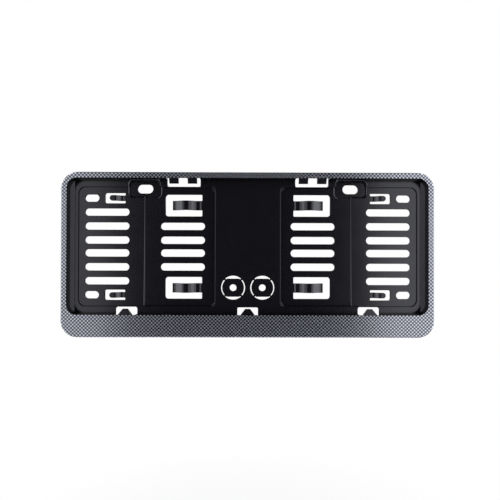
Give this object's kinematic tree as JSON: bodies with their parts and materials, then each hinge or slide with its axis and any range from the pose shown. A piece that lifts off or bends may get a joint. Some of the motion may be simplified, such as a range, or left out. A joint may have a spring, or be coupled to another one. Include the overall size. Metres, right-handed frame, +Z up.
{
  "type": "number plate holder",
  "caption": "One-piece moulded holder for a short number plate: carbon-look rim with a wide lower strip, slotted floor, spring tongues, snap teeth and lugs.",
  "frame": {"origin": "midway between the two upper mounting slots, on the rear mounting plane", "axes": "+X to the right along the plate seen from the front, +Y rearward into the vehicle, +Z up"},
  "size_m": [0.3158, 0.014, 0.1398],
  "materials": {
    "black_plastic": "satin black moulded plastic; the rim's face carries a fine black and silver carbon-look print"
  },
  "bodies": {
    "root": {"plate_holder": "black_plastic"}
  },
  "joints": []
}
